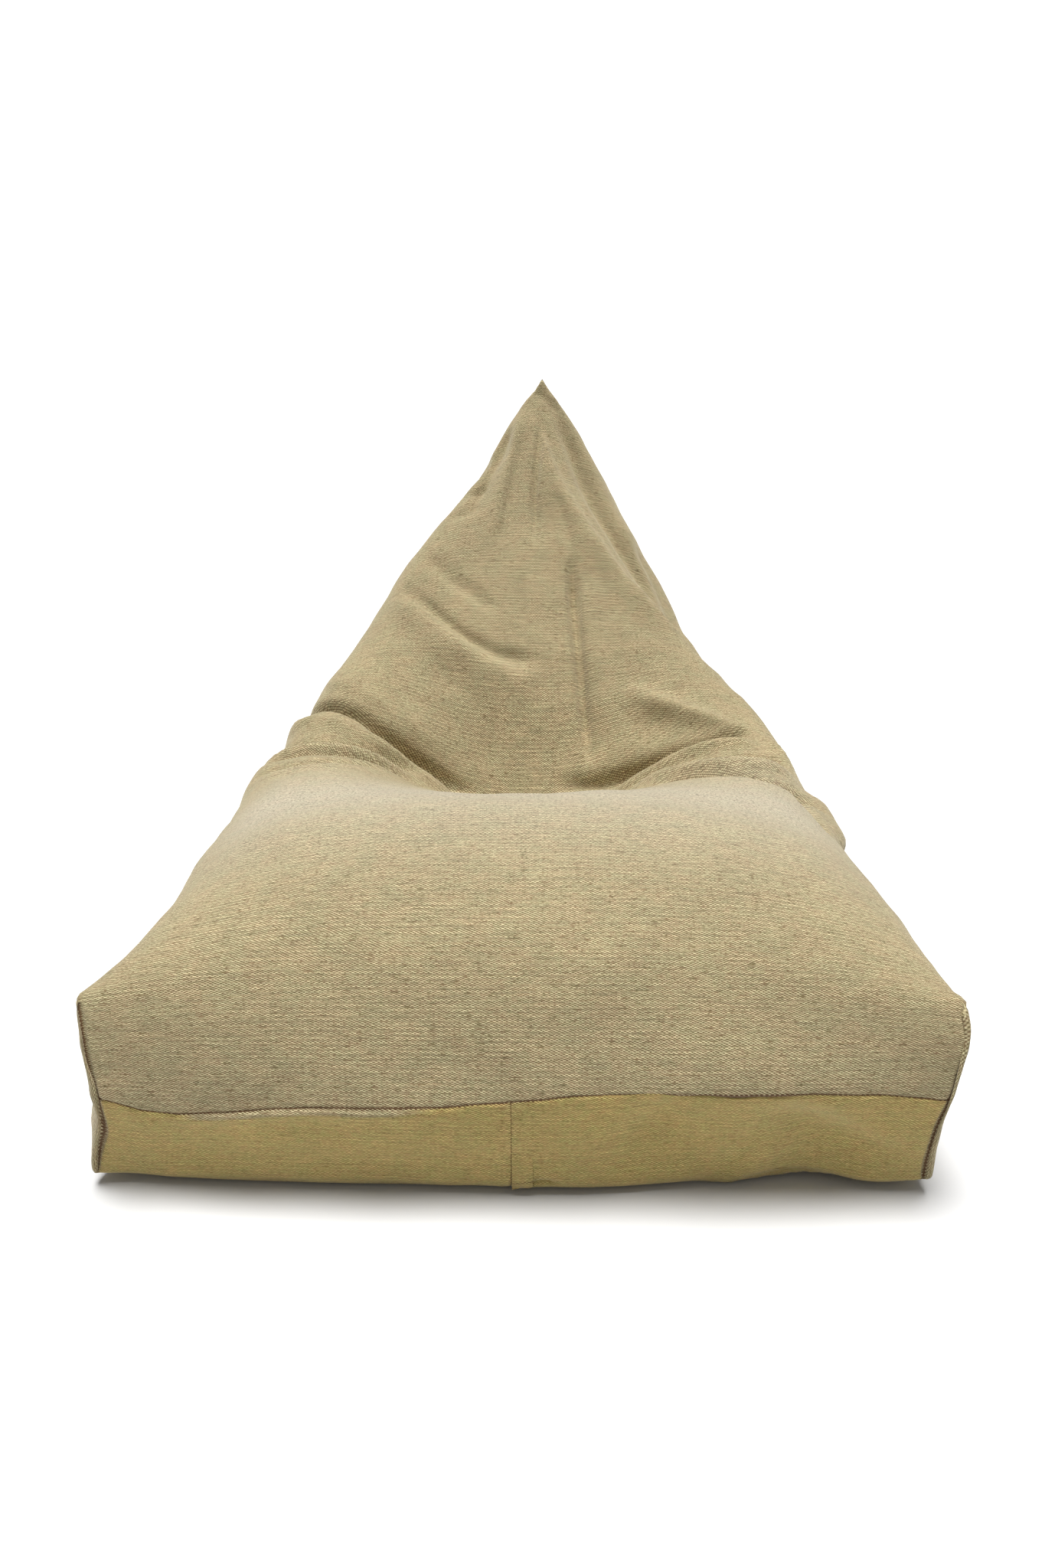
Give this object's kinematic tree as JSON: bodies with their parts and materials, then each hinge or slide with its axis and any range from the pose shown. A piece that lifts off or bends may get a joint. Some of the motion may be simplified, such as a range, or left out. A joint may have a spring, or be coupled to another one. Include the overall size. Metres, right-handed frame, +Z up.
{
  "type": "bean bag pouf",
  "caption": "Cloth bag filled with beads, low and wide at the front with boxed corners, rising behind a pressed seat to a pointed back.",
  "frame": {"origin": "on the floor, under the middle of the pouf's bounding box", "axes": "+X to the sitter's right as seen from the front, +Y from the low front to the peaked back, +Z up"},
  "size_m": [1.0354, 1.325, 0.916],
  "materials": {
    "woven_cover": "coarse two-tone weave, matt",
    "woven_hem": "coarse two-tone weave, matt"
  },
  "bodies": {
    "root": {"bag_body": "woven_cover", "placket_tab": "woven_hem"}
  },
  "joints": []
}
